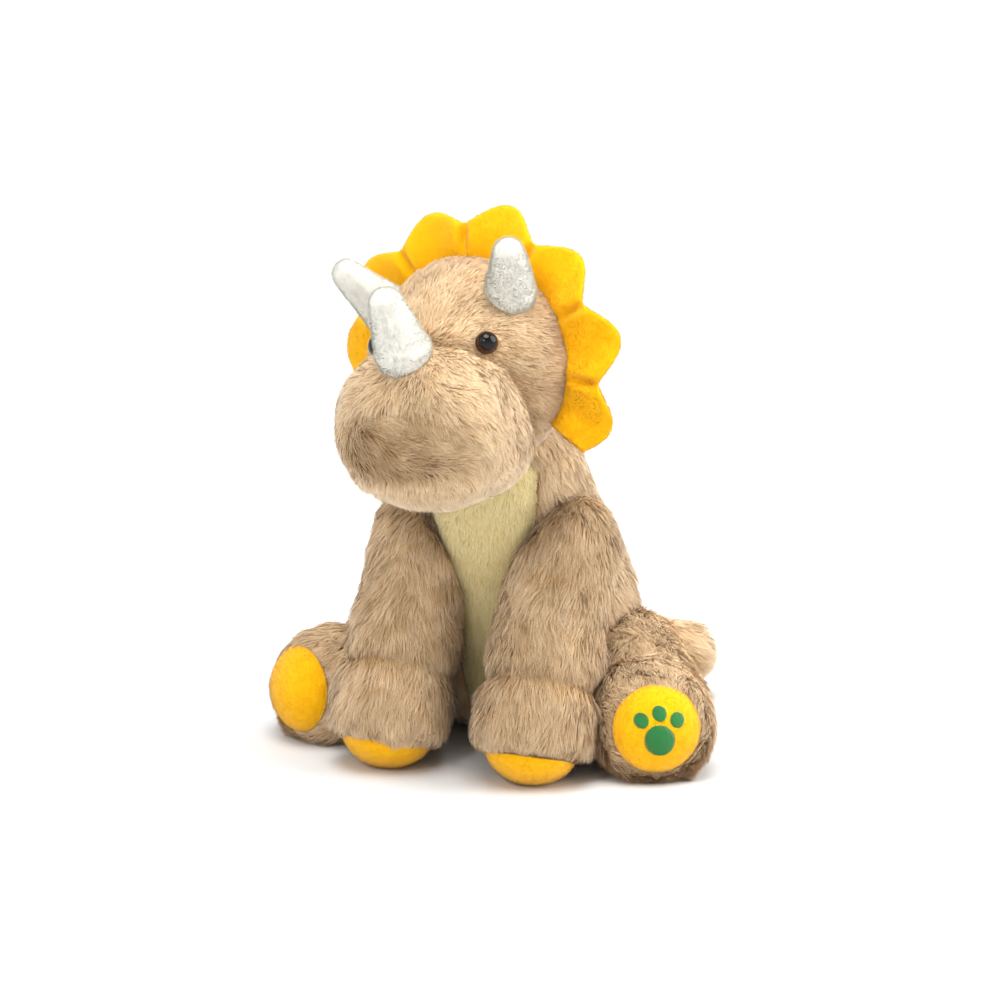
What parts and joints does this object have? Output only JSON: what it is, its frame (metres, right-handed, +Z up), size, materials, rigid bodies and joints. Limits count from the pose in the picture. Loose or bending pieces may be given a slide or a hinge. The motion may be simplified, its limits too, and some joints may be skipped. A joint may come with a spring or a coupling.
{
  "type": "stuffed dinosaur",
  "caption": "Seated plush three-horned dinosaur with a scalloped frill, stuffed limbs that flex at their seams, and a flat weighted seat.",
  "frame": {"origin": "on the floor under the middle of the toy's box", "axes": "+Z up, the toy faces -Y, +X is the toy's own left"},
  "size_m": [0.213, 0.2258, 0.2552],
  "materials": {
    "long_plush": "matte",
    "cream_plush": "matte",
    "yellow_plush": "matte",
    "white_plush": "matte",
    "polyester_fill": "matte",
    "lining_cloth": "matte",
    "pellets": "matte",
    "eye_gloss": "gloss",
    "washer_plastic": "satin",
    "brown_thread": "matte",
    "green_thread": "satin",
    "label_satin": "satin"
  },
  "bodies": {
    "torso": {"base_panel": "long_plush", "belly_panel": "cream_plush", "left_torso_panel": "long_plush", "right_torso_panel": "long_plush", "closing_seam_thread": "brown_thread", "care_label": "label_satin", "pellet_bag": "lining_cloth", "pellets": "pellets", "torso_stuffing": "polyester_fill"},
    "neck": {"neck_wad": "polyester_fill"},
    "head": {"head_back_panel": "long_plush", "forehead_panel": "long_plush", "left_cheek_panel": "long_plush", "right_cheek_panel": "long_plush", "head_stuffing": "polyester_fill", "muzzle_top_panel": "long_plush", "muzzle_front_panel": "long_plush", "chin_panel": "long_plush", "muzzle_stuffing": "polyester_fill", "left_eye": "eye_gloss", "right_eye": "eye_gloss", "left_eye_washer": "washer_plastic", "right_eye_washer": "washer_plastic", "frill_front": "yellow_plush", "frill_back": "yellow_plush", "frill_wadding": "polyester_fill", "nose_horn_cover": "white_plush", "nose_horn_stuffing": "polyester_fill", "left_brow_horn_cover": "white_plush", "left_brow_horn_stuffing": "polyester_fill", "right_brow_horn_cover": "white_plush", "right_brow_horn_stuffing": "polyester_fill"},
    "tail": {"tail_outer_panel": "long_plush", "tail_inner_panel": "long_plush", "tail_stuffing": "polyester_fill"},
    "left_front_leg": {"left_front_leg_outer_panel": "long_plush", "left_front_leg_inner_panel": "long_plush", "left_front_leg_sole": "yellow_plush", "left_front_leg_stuffing": "polyester_fill"},
    "left_hind_leg": {"left_hind_leg_outer_panel": "long_plush", "left_hind_leg_inner_panel": "long_plush", "left_hind_leg_sole": "yellow_plush", "left_hind_leg_stuffing": "polyester_fill", "footprint_embroidery": "green_thread"},
    "right_front_leg": {"right_front_leg_outer_panel": "long_plush", "right_front_leg_inner_panel": "long_plush", "right_front_leg_sole": "yellow_plush", "right_front_leg_stuffing": "polyester_fill"},
    "right_hind_leg": {"right_hind_leg_outer_panel": "long_plush", "right_hind_leg_inner_panel": "long_plush", "right_hind_leg_sole": "yellow_plush", "right_hind_leg_stuffing": "polyester_fill"}
  },
  "joints": [
    {"name": "neck_turn", "type": "hinge", "parent": "torso", "child": "neck", "pos_m": [0, -0.00707, 0.13], "axis": [0, -0.4895, 0.872], "range_deg": [-20, 20], "stiffness_Nm_per_rad": 1.6},
    {"name": "neck_nod", "type": "hinge", "parent": "neck", "child": "head", "pos_m": [0, -0.00707, 0.13], "axis": [1, 0, 0], "range_deg": [-8, 10], "stiffness_Nm_per_rad": 3},
    {"name": "tail_wag", "type": "hinge", "parent": "torso", "child": "tail", "pos_m": [0.004, 0.06893, 0.027], "axis": [0, 0, 1], "range_deg": [-12, 12], "stiffness_Nm_per_rad": 0.3},
    {"name": "left_shoulder", "type": "hinge", "parent": "torso", "child": "left_front_leg", "pos_m": [0.034, -0.01307, 0.101], "axis": [-1, 0, 0], "range_deg": [-1, 20], "stiffness_Nm_per_rad": 1.6},
    {"name": "left_hip", "type": "hinge", "parent": "torso", "child": "left_hind_leg", "pos_m": [0.046, 0.03293, 0.03], "axis": [0, 0, 1], "range_deg": [-1, 20], "stiffness_Nm_per_rad": 0.8},
    {"name": "right_shoulder", "type": "hinge", "parent": "torso", "child": "right_front_leg", "pos_m": [-0.034, -0.01307, 0.101], "axis": [-1, 0, 0], "range_deg": [-1, 20], "stiffness_Nm_per_rad": 1.6},
    {"name": "right_hip", "type": "hinge", "parent": "torso", "child": "right_hind_leg", "pos_m": [-0.046, 0.03293, 0.03], "axis": [0, 0, -1], "range_deg": [-1, 20], "stiffness_Nm_per_rad": 0.8}
  ]
}
